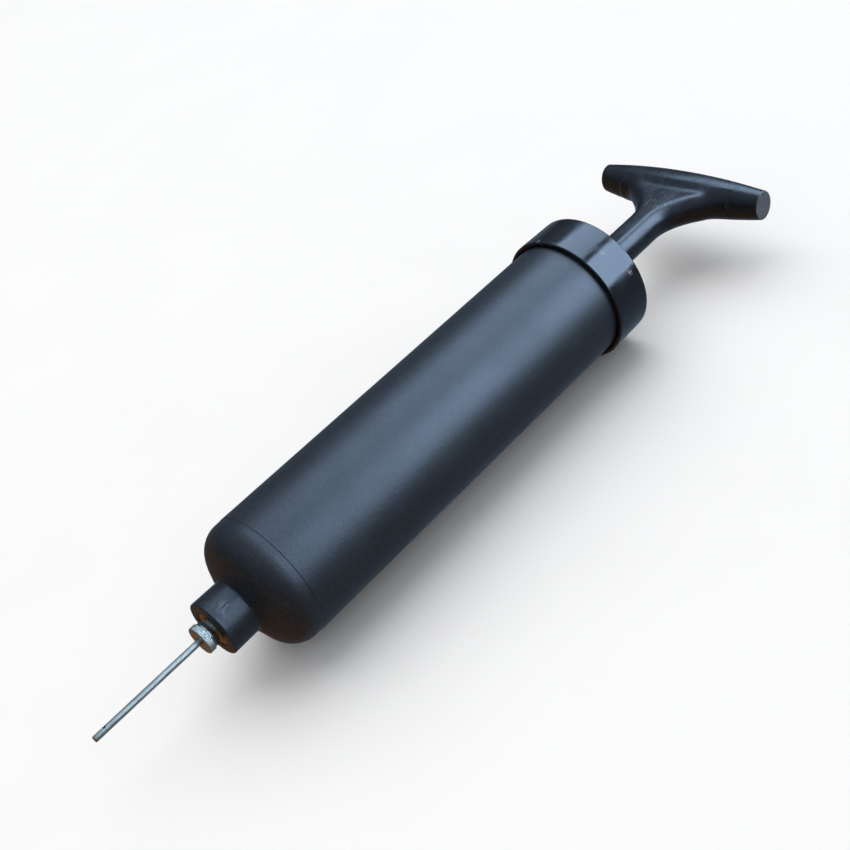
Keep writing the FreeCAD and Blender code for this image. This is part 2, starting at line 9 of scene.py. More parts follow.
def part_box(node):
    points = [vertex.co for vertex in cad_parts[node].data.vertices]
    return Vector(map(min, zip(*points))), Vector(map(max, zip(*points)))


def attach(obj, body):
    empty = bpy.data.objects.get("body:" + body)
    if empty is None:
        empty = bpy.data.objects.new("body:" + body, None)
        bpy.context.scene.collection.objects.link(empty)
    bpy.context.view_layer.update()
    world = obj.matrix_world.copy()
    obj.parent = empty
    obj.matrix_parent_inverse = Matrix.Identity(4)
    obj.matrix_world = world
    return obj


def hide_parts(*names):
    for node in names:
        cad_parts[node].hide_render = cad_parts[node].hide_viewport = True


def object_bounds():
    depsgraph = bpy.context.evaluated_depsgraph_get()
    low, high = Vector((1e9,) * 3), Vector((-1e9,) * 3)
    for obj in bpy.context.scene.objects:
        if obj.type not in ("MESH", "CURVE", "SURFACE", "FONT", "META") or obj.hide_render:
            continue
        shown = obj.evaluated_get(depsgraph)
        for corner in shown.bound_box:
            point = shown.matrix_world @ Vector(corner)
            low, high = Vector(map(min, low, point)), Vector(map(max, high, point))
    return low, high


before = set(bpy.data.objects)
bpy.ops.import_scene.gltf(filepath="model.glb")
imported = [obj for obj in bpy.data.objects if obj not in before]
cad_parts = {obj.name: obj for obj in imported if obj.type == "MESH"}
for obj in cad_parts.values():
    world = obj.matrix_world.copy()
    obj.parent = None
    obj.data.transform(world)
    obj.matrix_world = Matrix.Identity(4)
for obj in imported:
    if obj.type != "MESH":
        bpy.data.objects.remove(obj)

CAD_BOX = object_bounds()

bl_info = {
    "name": "Ball Inflation Pump",
    "version": (1, 0, 0),
    "blender": (4, 5, 0),
    "location": "View3D > Sidebar > Ball Pump",
    "description": "Builds the visible surfaces and finishes of a hand pump for inflating balls",
    "category": "Add Mesh",
}

# The pump lies on its side: +X runs along its axis from the needle to the T-handle, +Z is up and
# the handle's crossbar lies along Y. Lengths are in metres.
MM = 0.001
TAU = 2 * math.pi
HOLD = 0.03 * MM
ARC_POINTS = 9
HIDDEN_GAP = 0.02 * MM

# How deep the head is bored for the tube.
HEAD_SEAT_DEPTH = 8 * MM

# How far a limb shrinks into the crossbar, how much it tapers past its pivot, and where it ends.
SINK = 1.2 * MM
LIMB_TAPER = 4 * MM
LIMB_OVERRUN = 3 * MM

# Where the handle's grid turns fine, in millimetres along the axis.
NECK_GRID_START = 208

# The camera: where it stands, and the directions that its picture calls right and up.
CAMERA_PLACE = (-0.076208, -0.261468, 0.242479)
CAMERA_RIGHT = (0.657050, -0.699048, -0.282166)
CAMERA_UP = (0.610872, 0.274404, 0.742656)

# The light panels are this long and stand this far beyond the middle of the pump, in metres.
PANEL_LENGTH = 2.4
PANEL_SHIFT = 1.5


def span(node):
    """Where a turned CAD node starts and ends along the axis, and its largest radius."""
    low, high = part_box(node)
    return low.x, high.x, high.z


BARREL_START, BARREL_END, BARREL_RADIUS = span("barrel")
CAP_START, CAP_END, CAP_RADIUS = span("barrel_cap")
GUIDE_START, GUIDE_END, FLANGE_RADIUS = span("rod_guide")
INSERT_START, INSERT_END, INSERT_RADIUS = span("nozzle_insert")
HEAD_START, SHANK_END, HEAD_RADIUS = span("needle_head")
TIP, SEAT_END, NEEDLE_RADIUS = span("needle_tube")
WASHER_START, WASHER_END, WASHER_RADIUS = span("needle_washer")
ROD_START, GRIP_BACK, GRIP_HALF_HEIGHT = span("handle")
GRIP_HALF_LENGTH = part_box("handle")[1].y
DISC_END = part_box("valve_disc")[1].x
FLOOR_HEIGHT = -CAP_RADIUS


# ---------------------------------------------------------------- settings

def length(name, text, millimetres):
    return FloatProperty(
        name=name, description=text, default=millimetres * MM, precision=5,
        subtype="DISTANCE", unit="LENGTH",
    )


def angle(name, text, degrees):
    return FloatProperty(
        name=name, description=text, default=math.radians(degrees), subtype="ANGLE", unit="ROTATION"
    )


def colour(name, text, value):
    return FloatVectorProperty(
        name=name, description=text, default=value, subtype="COLOR", size=3, min=0.0, max=1.0
    )


def factor(name, text, value):
    return FloatProperty(
        name=name, description=text, default=value, subtype="FACTOR", min=0.0, max=1.0
    )


class BarrelSettings(bpy.types.PropertyGroup):
    """Sizes of the barrel, its rounded bottom and the boss that holds the needle."""

    wall: length("Wall", "Thickness of the tube's wall", 2.2)
    boss_radius: length("Boss radius", "Radius of the boss at its face", 9.45)
    boss_length: length("Boss length", "How far the boss stands out of the bottom", 10.3)
    boss_draft: angle("Boss draft", "Taper of the boss towards its foot", 0.7)
    boss_edge: length("Boss edge", "Rounding of the boss's outer edge", 0.5)
    boss_foot: length("Boss foot", "Rounding where the boss meets the bottom", 0.7)
    dome_slope: angle("Dome slope", "Slope of the bottom's cone", 22.0)
    dome_corner: length("Dome corner", "Rounding between the bottom and the tube", 8.8)
    step_place: length("Step place", "Where the mould step is, from the boss's face", 23.5)
    step_height: length("Step height", "Height of the mould step", 0.1)
    tower_wall: length("Tower wall", "Wall of the tower around the outlet valve", 2.6)
    seat_hole: length("Seat hole", "Radius of the outlet valve's hole", 1.6)
    seat_wall: length("Seat wall", "Thickness of the outlet valve's seat", 2.0)


class CapSettings(bpy.types.PropertyGroup):
    """Sizes of the cap and of the rod's guide in it."""

    top_radius: length("Top radius", "Radius of the cap at its flat end", 23.5)
    edge: length("Edge", "Rounding of the cap's outer edges", 0.6)
    plate: length("Plate", "Thickness of the cap's end plate", 3.0)
    lip_gap: length("Lip gap", "Open gap between the cap's mouth and the tube", 0.6)
    lip_depth: length("Lip depth", "Depth of that gap", 2.6)
    hub_radius: length("Hub radius", "Radius of the hole that holds the guide", 8.18)
    guide_bore: length("Guide bore", "Radius of the guide's hole", 6.18)
    guide_flange: length("Guide flange", "Thickness of the guide's flange", 2.0)
    guide_edge: length("Guide edge", "Rounding of the guide's mouth", 0.35)


class NeedleSettings(bpy.types.PropertyGroup):
    """Sizes of the needle, its knurled head and the insert it screws into."""

    bore: length("Bore", "Radius of the needle's bore", 0.6)
    tip_round: length("Tip rounding", "Rounding of the needle's open tip", 0.3)
    seat_radius: length("Seat radius", "Radius of the tube where it sits in the head", 0.8)
    port_radius: length("Port radius", "Radius of the side port", 0.4)
    port_setback: length("Port setback", "Distance of the side port from the tip", 4.0)
    head_rim: length("Head rim", "Width of the knurled rim", 2.3)
    head_edge: length("Head edge", "Rounding of the rim's edges", 0.35)
    head_cone: length("Head cone", "Length of the cone behind the rim", 0.7)
    collar_radius: length("Collar radius", "Radius at the end of the cone", 4.25)
    shank_radius: length("Shank radius", "Outer radius of the thread", 3.85)
    knurls: IntProperty(
        name="Knurls", description="Number of grooves around the head", default=52, min=8
    )
    knurl_depth: length("Knurl depth", "Depth of the grooves", 0.11)
    pitch: length("Pitch", "Pitch of the needle's thread", 0.794)
    thread_depth: length("Thread depth", "Depth of the thread", 0.36)
    insert_edge: length("Insert edge", "Chamfer at the insert's mouth", 0.35)
    insert_groove: length("Insert groove", "Depth of the groove around the insert", 0.6)


class HandleSettings(bpy.types.PropertyGroup):
    """Sizes of the rod, the flared neck and the crossbar."""

    rod_radius: length("Rod radius", "Radius of the rod", 6.1)
    rod_flat: length("Rod flat", "Distance of the two flats from the axis", 5.55)
    flare_start: length("Flare start", "Where the neck starts to flare", 218.4)
    flare_bend: length("Flare bend", "Radius of the neck's two limbs", 23.1)
    flare_swell: length("Flare swell", "How much a limb swells half-way", 1.25)
    bar_place: length("Bar place", "Where the crossbar's ends lie along the axis", 243.6)
    bar_bow: length("Bar bow", "How far the crossbar bows at its middle", 0.9)
    end_depth: length("End depth", "Half thickness of the crossbar's ends along the axis", 4.65)
    end_height: length("End height", "Half height of the crossbar's ends", 5.35)
    bar_bulge: length("Bar bulge", "How much thicker the crossbar is at its middle", 2.7)
    blend: length("Blend", "Softness of the joint between neck and crossbar", 1.6)
    flat_edge: length("Flat edge", "Softness of the flats' edges", 0.45)
    end_edge: length("End edge", "Softness of the crossbar's end edges", 0.3)
    parting: length("Parting", "Height of the parting line's step", 0.05)


class FinishSettings(bpy.types.PropertyGroup):
    """Colours and roughness of the finishes."""

    satin_black: colour("Satin black", "Colour of the barrel", (0.008, 0.010, 0.013))
    satin_roughness: factor("Satin roughness", "Roughness of the barrel", 0.42)
    gloss_black: colour("Gloss black", "Colour of the cap and guide", (0.006, 0.007, 0.009))
    gloss_roughness: factor("Gloss roughness", "Roughness of the cap", 0.12)
    handle_black: colour("Handle black", "Colour of the handle", (0.006, 0.007, 0.009))
    handle_roughness: factor("Handle roughness", "Roughness of the handle", 0.24)
    sawn_black: colour("Sawn black", "Colour of the crossbar's sawn ends", (0.060, 0.070, 0.082))
    nickel: colour("Nickel", "Colour of the needle and its head", (0.52, 0.50, 0.42))
    nickel_roughness: factor("Nickel roughness", "Roughness of the needle", 0.27)
    brass: colour("Brass", "Colour of the threaded insert", (0.60, 0.39, 0.15))
    rubber: colour("Rubber", "Colour of the seals", (0.022, 0.022, 0.023))
    nylon: colour("Nylon", "Colour of the piston and retainer", (0.72, 0.70, 0.63))
    steel: colour("Steel", "Colour of the spring, screw and washer", (0.56, 0.57, 0.58))


class StageSettings(bpy.types.PropertyGroup):
    """Camera, floor and light."""

    lens: FloatProperty(
        name="Lens", description="Focal length in millimetres", default=52.518, unit="CAMERA"
    )
    floor_size: FloatProperty(
        name="Floor size", description="Half width of the floor", default=9.0,
        subtype="DISTANCE", unit="LENGTH",
    )
    floor_colour: colour("Floor colour", "Colour of the pale floor", (0.86, 0.86, 0.86))
    light_distance: FloatProperty(
        name="Light distance", description="Distance of the light panels", default=1.2,
        subtype="DISTANCE", unit="LENGTH",
    )
    light_colour: colour("Light colour", "Colour of the light panels", (0.50, 0.70, 1.0))
    sky: FloatProperty(name="Sky", description="Strength of the soft light on the floor", default=1.9)
    sky_spread: angle("Sky spread", "Angular width of the soft light", 70)
    overhead: FloatProperty(name="Overhead", description="Radiance of the far panel", default=5.5)
    front: FloatProperty(name="Front", description="Radiance of the near panel", default=9.0)


class PumpSettings(bpy.types.PropertyGroup):
    """Everything about the pump that can be changed."""

    barrel: PointerProperty(type=BarrelSettings, name="Barrel", description="Barrel sizes")
    cap: PointerProperty(type=CapSettings, name="Cap", description="Cap sizes")
    needle: PointerProperty(type=NeedleSettings, name="Needle", description="Needle sizes")
    handle: PointerProperty(type=HandleSettings, name="Handle", description="Handle sizes")
    finish: PointerProperty(type=FinishSettings, name="Finish", description="Finishes")
    stage: PointerProperty(type=StageSettings, name="Stage", description="Camera and light")


# ---------------------------------------------------------------- surfaces

def unit(vector):
    return vector / np.linalg.norm(vector)


def rounded(before, corner, after, radius):
    """The arc of a given radius that is tangent to both sides of a corner, as points."""
    if not radius:
        return corner[None]
    back, ahead = unit(before - corner), unit(after - corner)
    half = math.acos(np.clip(back @ ahead, -1, 1)) / 2
    centre = corner + unit(back + ahead) * radius / math.sin(half)
    start = corner + back * radius / math.tan(half) - centre
    end = corner + ahead * radius / math.tan(half) - centre
    first = math.atan2(start[1], start[0])
    turn = (math.atan2(end[1], end[0]) - first + math.pi) % TAU - math.pi
    bearing = first + turn * np.linspace(0, 1, ARC_POINTS)
    return centre + radius * np.stack([np.cos(bearing), np.sin(bearing)], -1)


def closed_outline(corners, step):
    """
    A closed outline through (x, radius, rounding) corners. A corner with a rounding becomes an arc
    tangent to both of its sides. A straight side gets points close to its ends, which keep its
    shading flat, and more between them at even steps.
    """
    sharp = np.array([corner[:2] for corner in corners], float)
    radii = [corner[2] if len(corner) == 3 else 0 for corner in corners]
    count = len(corners)
    arcs = [
        rounded(sharp[i - 1], sharp[i], sharp[(i + 1) % count], radii[i]) for i in range(count)
    ]
    runs = []
    for i, arc in enumerate(arcs):
        start, end = arc[-1], arcs[(i + 1) % count][0]
        distance = np.linalg.norm(end - start)
        along = np.linspace(0, 1, max(1, math.ceil(distance / step)) + 1)[1:-1]
        if distance > 4 * HOLD:
            along = np.unique(np.concatenate([[HOLD / distance], along, [1 - HOLD / distance]]))
        runs += [arc, start + (end - start) * along[:, None]]
    return np.concatenate(runs)


def grid_faces(rows, columns):
    """Quads of a grid of points that closes on itself in both directions."""
    i, j = np.meshgrid(np.arange(rows), np.arange(columns), indexing="ij")
    below, beside = (i + 1) % rows, (j + 1) % columns
    corners = [i * columns + j, below * columns + j, below * columns + beside, i * columns + beside]
    return np.stack(corners, -1).reshape(-1, 4)


def signed_volume(points, quads):
    """Volume of a closed surface: the sum of the tetrahedra from each face to the origin."""
    a, b, c, d = (points[quads[:, k]] for k in range(4))
    return (np.cross(b - a, c - a) * a).sum() / 6 + (np.cross(c - a, d - a) * a).sum() / 6


def closed_mesh(name, points, quads):
    """A smooth mesh object from a closed surface, with its faces turned outwards."""
    if signed_volume(points, quads) < 0:
        quads = quads[:, ::-1]
    mesh = bpy.data.meshes.new(name)
    mesh.from_pydata(points, [], quads)
    mesh.shade_smooth()
    mesh.validate()
    piece = bpy.data.objects.new(name, mesh)
    bpy.context.scene.collection.objects.link(piece)
    return piece


def turned(name, outline, around, ripple=None):
    """
    A turned piece. The closed outline is carried round the X axis: the point at step s of the
    outline and angle a lies at x(s), at the radius r(s) plus the ripple at that x, r and a. The
    grid closes round the outline and round the axis.
    """
    bearing = np.arange(around) * TAU / around
    x, bearing = np.meshgrid(outline[:, 0], bearing, indexing="ij")
    radius = np.repeat(outline[:, 1:], around, 1)
    if ripple is not None:
        radius = radius + ripple(x, radius, bearing)
    points = np.stack([x, radius * np.cos(bearing), radius * np.sin(bearing)], -1)
    return closed_mesh(name, points.reshape(-1, 3), grid_faces(*x.shape))


def ramp(value, start, end):
    """Rises smoothly from 0 at start to 1 at end: 3t^2 - 2t^3."""
    t = np.clip((value - start) / (end - start), 0, 1)
    return t * t * (3 - 2 * t)


def thread_ridge(x, bearing, pitch):
    """
    Height from 0 to 1 of a right-hand thread: a rounded ridge whose phase grows by one for each
    pitch along the axis and falls by one for each turn round it.
    """
    phase = x / pitch - bearing / TAU
    return ramp(np.abs((phase % 1) * 2 - 1), 0.12, 0.88)


def join_soft(a, b, softness):
    """Union of two fields: the smaller, rounded where they are nearly equal."""
    mix = np.clip(0.5 + 0.5 * (b - a) / softness, 0, 1)
    return b + (a - b) * mix - softness * mix * (1 - mix)


def cut_soft(a, b, softness):
    """What two fields share: the larger, rounded where they are nearly equal."""
    return -join_soft(-a, -b, softness)


def slope_of(field, points, reach):
    """Gradient of a field at points, from differences over a short reach."""
    steps = np.eye(3) * reach
    return np.stack(
        [(field(points + s) - field(points - s)) / (2 * reach) for s in steps], -1
    )


def level_surface(field, axes):
    """
    The closed surface where a field of space is zero, on a grid with its own spacing along each
    axis. Each grid edge that the surface crosses gives a point by linear interpolation. Each cell
    gets one vertex, the mean of its points, and each crossed edge one quad, from the four cells
    around it. The vertices are then evened out and moved back along the field's slope.
    """
    shape = [len(axis) for axis in axes]
    samples = field(np.stack(np.meshgrid(*axes, indexing="ij"), -1))
    cells = np.prod(shape)
    total, hits, edges = np.zeros((cells, 3)), np.zeros(cells), []
    for axis in range(3):
        near = np.moveaxis(samples, axis, 0)[:-1]
        far = np.moveaxis(samples, axis, 0)[1:]
        crossed = np.argwhere(np.moveaxis((near < 0) != (far < 0), 0, axis))
        ahead = crossed.copy()
        ahead[:, axis] += 1
        first, last = samples[tuple(crossed.T)], samples[tuple(ahead.T)]
        place = crossed.astype(float)
        place[:, axis] += first / (first - last)
        side, up = [(1, 2), (2, 0), (0, 1)][axis]
        ring = []
        for down_side, down_up in ((0, 0), (1, 0), (1, 1), (0, 1)):
            cell = crossed.copy()
            cell[:, side] -= down_side
            cell[:, up] -= down_up
            index = np.ravel_multi_index(tuple(cell.T), shape)
            ring.append(index)
            hits += np.bincount(index, minlength=cells)
            for k in range(3):
                total[:, k] += np.bincount(index, weights=place[:, k], minlength=cells)
        ring = np.stack(ring, -1)
        edges.append(np.where((first < 0)[:, None], ring, ring[:, ::-1]))
    used = np.flatnonzero(hits)
    number = np.full(cells, -1)
    number[used] = np.arange(len(used))
    quads = number[np.concatenate(edges)]
    index_place = total[used] / hits[used, None]
    points = np.stack(
        [np.interp(index_place[:, k], np.arange(shape[k]), axes[k]) for k in range(3)], -1
    )
    return settle(field, points, quads), quads


def settle(field, points, quads, rounds=6, reach=0.01 * MM, longest=0.3 * MM):
    """Evens a surface's vertices out towards their neighbours, then puts them back at zero."""
    start = quads.ravel()
    end = np.roll(quads, -1, 1).ravel()
    degree = np.bincount(start, minlength=len(points))[:, None]
    for round_number in range(rounds):
        if round_number < rounds - 2:
            mean = np.stack(
                [np.bincount(start, weights=points[end, k], minlength=len(points))
                 for k in range(3)], -1
            ) / degree
            slope = slope_of(field, points, reach)
            slope /= np.linalg.norm(slope, axis=1, keepdims=True)
            shift = mean - points
            points = points + 0.5 * (shift - slope * (shift * slope).sum(1, keepdims=True))
        slope = slope_of(field, points, reach)
        height = field(points)[:, None] / np.maximum((slope ** 2).sum(1, keepdims=True), 0.04)
        points = points - np.clip(height * slope, -longest, longest)
    return points


def handle_field(sizes):
    """
    The handle as a field of space, negative inside. The rod is a circle cut by two flats. Each
    limb is a circle carried along a quarter turn, which swells on its outer side half-way and
    shrinks where it sinks into the crossbar. The web fills the space between the limbs' centre
    lines, and the crossbar is an oval, whose halves grow by one minus the square of the distance
    along it. They are joined softly.
    """
    bend, start, rod = sizes.flare_bend, sizes.flare_start, sizes.rod_radius

    def field(points):
        x, y, z = points[..., 0], points[..., 1], points[..., 2]
        ahead, aside = x - start, np.abs(y) - bend
        reach = np.hypot(ahead, aside)
        outwards = reach - bend
        turn = np.clip(np.arctan2(ahead, -aside) / (math.pi / 2), 0, 1)
        swell = sizes.flare_swell * np.sin(math.pi * turn) ** 2
        sink = SINK * ramp(turn, 0.62, 1.0) + LIMB_TAPER * ramp(aside, 0, LIMB_OVERRUN)
        radius = rod - sink
        outer = radius + np.where(outwards < 0, swell, 0)
        limb = (np.hypot(outwards / outer, z / radius) - 1) * radius
        limb = np.maximum(limb, -ahead)
        limb = np.maximum(limb, aside - LIMB_OVERRUN)
        shaft = np.maximum(np.hypot(y, z) - rod, ahead - 0.5 * MM)
        web = np.maximum(np.maximum(-outwards, aside), np.maximum(-ahead, ahead - bend))
        neck = np.minimum(np.minimum(limb, shaft), web)
        seam = sizes.parting * np.tanh(z / (0.08 * MM)) * ramp(-ahead, -0.7 * bend, -0.4 * bend)
        neck = cut_soft(neck - 0.5 * seam, np.abs(z) - sizes.rod_flat, sizes.flat_edge)
        neck = np.maximum(neck, ROD_START - x)
        share = np.clip(y / GRIP_HALF_LENGTH, -1, 1)
        bulge = 1 - share * share
        deep = sizes.end_depth + sizes.bar_bulge * bulge
        high = sizes.end_height + sizes.bar_bulge * bulge
        centre = sizes.bar_place - sizes.bar_bow * bulge
        bar = (np.hypot((x - centre) / deep, z / high) - 1) * deep
        bar = cut_soft(bar, np.abs(y) - GRIP_HALF_LENGTH, sizes.end_edge)
        return join_soft(neck, bar, sizes.blend)

    return field


def spaced(*stretches):
    """Grid lines along an axis, from (start, end, spacing) stretches that follow each other."""
    lines = [np.arange(start, end, spacing) for start, end, spacing in stretches]
    return np.concatenate(lines + [[stretches[-1][1]]]) * MM


# ---------------------------------------------------------------- finishes

class Finish:
    """A material in the making: one surface shader whose patterns read object coordinates."""

    def __init__(self, name, tint, roughness, metallic=0.0, specular=0.5):
        self.material = bpy.data.materials.new(name)
        self.material.use_nodes = True
        self.nodes = self.material.node_tree.nodes
        self.links = self.material.node_tree.links
        self.shader = self.nodes["Principled BSDF"]
        self.colour = tuple(tint)
        self.shader.inputs["Base Color"].default_value = (*tint, 1)
        self.shader.inputs["Roughness"].default_value = roughness
        self.shader.inputs["Metallic"].default_value = metallic
        self.shader.inputs["Specular IOR Level"].default_value = specular
        self.coordinates = self.nodes.new("ShaderNodeTexCoord").outputs["Object"]
        self.bump = None
        self.roughness = roughness

    def node(self, kind, settings=None, **sockets):
        made = self.nodes.new(kind)
        for key, value in (settings or {}).items():
            setattr(made, key, value)
        for key, value in sockets.items():
            socket = made.inputs[key.replace("_", " ")]
            if isinstance(value, bpy.types.NodeSocket):
                self.links.new(value, socket)
            else:
                socket.default_value = value
        return made

    def stretched(self, grain, stretch=(1, 1, 1)):
        """Object coordinates measured in grains, each stretched along the axes."""
        scale = [1 / (grain * MM * s) for s in stretch]
        mapping = self.node("ShaderNodeMapping", Vector=self.coordinates, Scale=scale)
        return mapping.outputs["Vector"]

    def clouds(self, grain, low=0.0, high=1.0, stretch=(1, 1, 1), detail=2.0, seed=0.0):
        """Noise with features about one grain across, cut to 0 below low and 1 above high."""
        shifted = self.node(
            "ShaderNodeVectorMath", Vector=self.stretched(grain, stretch)
        )
        shifted.inputs[1].default_value = (seed, seed * 1.7, seed * 0.3)
        noise = self.node(
            "ShaderNodeTexNoise", Vector=shifted.outputs["Vector"], Scale=1.0, Detail=detail
        )
        return self.remap(noise.outputs["Fac"], low, high, 0.0, 1.0)

    def remap(self, socket, low, high, to_low, to_high):
        mapped = self.node(
            "ShaderNodeMapRange", {"interpolation_type": "SMOOTHSTEP"}, Value=socket,
            From_Min=low, From_Max=high, To_Min=to_low, To_Max=to_high,
        )
        return mapped.outputs["Result"]

    def near(self, place, inner, outer):
        """1 within an inner distance of a place on the piece, falling to 0 at the outer one."""
        gap = self.node("ShaderNodeVectorMath", {"operation": "DISTANCE"})
        self.links.new(self.coordinates, gap.inputs[0])
        gap.inputs[1].default_value = [v * MM for v in place]
        return self.remap(gap.outputs["Value"], inner * MM, outer * MM, 1.0, 0.0)

    def beyond(self, axis, start, end):
        """0 before a place along an axis and 1 after another."""
        parts = self.node("ShaderNodeSeparateXYZ", Vector=self.coordinates)
        return self.remap(parts.outputs[axis], start * MM, end * MM, 0.0, 1.0)

    def both(self, first, second, operation="MULTIPLY"):
        maths = self.node("ShaderNodeMath", {"operation": operation, "use_clamp": True})
        self.links.new(first, maths.inputs[0])
        self.links.new(second, maths.inputs[1])
        return maths.outputs["Value"]

    def scaled(self, mask, share):
        maths = self.node("ShaderNodeMath", {"operation": "MULTIPLY"})
        self.links.new(mask, maths.inputs[0])
        maths.inputs[1].default_value = share
        return maths.outputs["Value"]

    def paint(self, mask, other, share=1.0):
        """Another colour where the mask is 1, as strong as the share."""
        mix = self.nodes.new("ShaderNodeMix")
        mix.data_type = "RGBA"
        socket = self.shader.inputs["Base Color"]
        mix.inputs[6].default_value = (*self.colour, 1)
        if socket.is_linked:
            self.links.new(socket.links[0].from_socket, mix.inputs[6])
        mix.inputs[7].default_value = (*other, 1)
        self.links.new(self.scaled(mask, share), mix.inputs["Factor"])
        self.links.new(mix.outputs[2], socket)
        return self

    def dull(self, mask, change):
        """Roughness changed by an amount where the mask is 1."""
        socket = self.shader.inputs["Roughness"]
        amount = self.scaled(mask, change)
        add = self.node("ShaderNodeMath", {"operation": "ADD", "use_clamp": True})
        self.links.new(amount, add.inputs[0])
        if socket.is_linked:
            self.links.new(socket.links[0].from_socket, add.inputs[1])
        else:
            add.inputs[1].default_value = self.roughness
        self.links.new(add.outputs["Value"], socket)
        return self

    def relief(self, mask, microns):
        """Surface raised by some microns where the mask is 1."""
        bump = self.node("ShaderNodeBump", Strength=1.0, Distance=microns * 1e-6, Height=mask)
        if self.bump is not None:
            self.links.new(self.bump, bump.inputs["Normal"])
        self.bump = bump.outputs["Normal"]
        self.links.new(self.bump, self.shader.inputs["Normal"])
        return self


def dusty(finish, light, share=0.35):
    """Scattered fine specks of dust and a few short light scratches."""
    finish.paint(finish.clouds(0.6, 0.80, 0.86, detail=0.0, seed=3.0), light, share)
    finish.paint(finish.clouds(0.9, 0.83, 0.88, (3, 0.5, 1), 0.0, 9.0), light, share * 0.5)
    finish.dull(finish.clouds(14, 0.35, 0.75, detail=3.0, seed=5.0), 0.07)
    return finish


def satin_barrel(colours):
    """Fine-textured satin moulding, with a painted bluish highlight streak on the boss, made rougher
    there.
    """
    made = Finish("satin_black_plastic", colours.satin_black, colours.satin_roughness)
    made.relief(made.clouds(0.45, 0.3, 0.7, detail=1.0), 12)
    made.relief(made.clouds(1.6, 0.3, 0.7, detail=2.0, seed=2.0), 9)
    made.relief(made.clouds(22, 0.2, 0.8, (2.5, 1, 1), 1.0, 4.0), 45)
    made.paint(made.clouds(1.1, 0.35, 0.75, detail=2.0, seed=7.0), (0.014, 0.018, 0.025), 0.8)
    dusty(made, (0.16, 0.17, 0.18), 0.25)
    boss = made.beyond("X", 15.6, 15.0)
    made.dull(boss, -0.09)
    # Painted highlight: a bluish streak of reflected light on the boss's side, with its roughness
    # raised.
    painted_highlight_streak = made.both(made.near((9.5, -5.1, 7.9), 0.6, 3.2),
                       made.clouds(0.5, 0.42, 0.62, (5, 0.8, 0.8), 2.0, 1.0))
    made.paint(painted_highlight_streak, (0.10, 0.14, 0.19), 0.8)
    made.dull(painted_highlight_streak, 0.15)
    return made.material


def gloss_cap(colours):
    """Smooth semi-gloss moulding with slight sink waves, hairlines and a few scuffs."""
    made = Finish("gloss_black_plastic", colours.gloss_black, colours.gloss_roughness)
    made.relief(made.clouds(11, 0.2, 0.8, (0.8, 1, 1), 1.0), 60)
    made.relief(made.clouds(0.7, 0.35, 0.65, (4, 1, 1), 2.0, 6.0), 3)
    made.dull(made.clouds(3.5, 0.4, 0.7, (2, 1, 1), 3.0, 8.0), 0.09)
    dusty(made, (0.20, 0.21, 0.22), 0.3)
    for place, size in (((179.6, -15.0, 18.3), 1.4), ((183.1, -21.6, 9.7), 2.2),
                        ((172.2, 5.7, 23.0), 1.0)):
        scuff = made.both(made.near(place, 0.2, size),
                          made.clouds(0.5, 0.5, 0.62, (2.5, 0.6, 0.6), 2.0, size))
        made.paint(scuff, (0.42, 0.45, 0.48), 0.75)
        made.dull(scuff, 0.3)
    return made.material


def satin_handle(colours):
    """Smooth satin moulding with faint flow marks and small pale scratches on the web."""
    made = Finish("handle_black_plastic", colours.handle_black, colours.handle_roughness)
    made.relief(made.clouds(8, 0.2, 0.8, (1.6, 1, 1), 1.0, 2.0), 40)
    made.relief(made.clouds(0.5, 0.35, 0.65, detail=2.0, seed=4.0), 4)
    made.dull(made.clouds(2.5, 0.4, 0.7, (3, 1, 1), 3.0, 1.0), 0.10)
    dusty(made, (0.18, 0.20, 0.23), 0.35)
    web = made.both(made.near((228.3, -1.0, 5.5), 2.0, 7.5),
                    made.clouds(0.55, 0.60, 0.68, (2.6, 0.6, 1), 2.0, 12.0))
    made.paint(web, (0.30, 0.33, 0.38), 0.8)
    return made.material


def sawn_end(colours):
    """The sprue-cut end of the crossbar: dull, paler, with parallel saw lines."""
    made = Finish("sawn_black_plastic", colours.sawn_black, 0.5)
    lines = made.clouds(0.32, 0.3, 0.7, (1, 1, 14), 2.0, 3.0)
    made.relief(lines, 22)
    made.paint(lines, (0.13, 0.15, 0.175), 0.6)
    made.dull(made.clouds(2.0, 0.3, 0.7), 0.1)
    return made.material


def drawn_nickel(colours):
    """Nickel-plated drawn tube: long fine lines, a little tarnish and brown staining."""
    made = Finish("nickel_drawn", colours.nickel, colours.nickel_roughness, metallic=1.0)
    made.relief(made.clouds(0.09, 0.3, 0.7, (60, 1, 1), 2.0), 1.5)
    made.dull(made.clouds(1.2, 0.35, 0.7, (5, 1, 1), 3.0, 2.0), 0.13)
    made.paint(made.clouds(1.5, 0.5, 0.72, (3, 1, 1), 3.0, 5.0), (0.40, 0.36, 0.28), 0.6)
    tip = made.both(made.beyond("X", -37.2, -38.6), made.clouds(0.7, 0.35, 0.6, detail=2.0))
    made.paint(tip, (0.16, 0.13, 0.10), 0.75)
    return made.material


def turned_nickel(colours):
    """Nickel-plated turned head: fine turning marks, and darker close round the axis near the origin.
    """
    made = Finish("nickel_turned", colours.nickel, colours.nickel_roughness - 0.04, metallic=1.0)
    made.relief(made.clouds(0.10, 0.3, 0.7, (1, 25, 25), 2.0), 2.5)
    made.dull(made.clouds(0.9, 0.35, 0.7, detail=3.0, seed=2.0), 0.16)
    made.paint(made.clouds(0.9, 0.52, 0.70, detail=3.0, seed=5.0), (0.34, 0.30, 0.22), 0.7)
    # Darker within 1.3 to 1.9 mm of the origin on the axis: a smooth, even patch.
    made.paint(made.near((0, 0, 0), 1.3, 1.9), (0.14, 0.12, 0.08), 0.6)
    return made.material


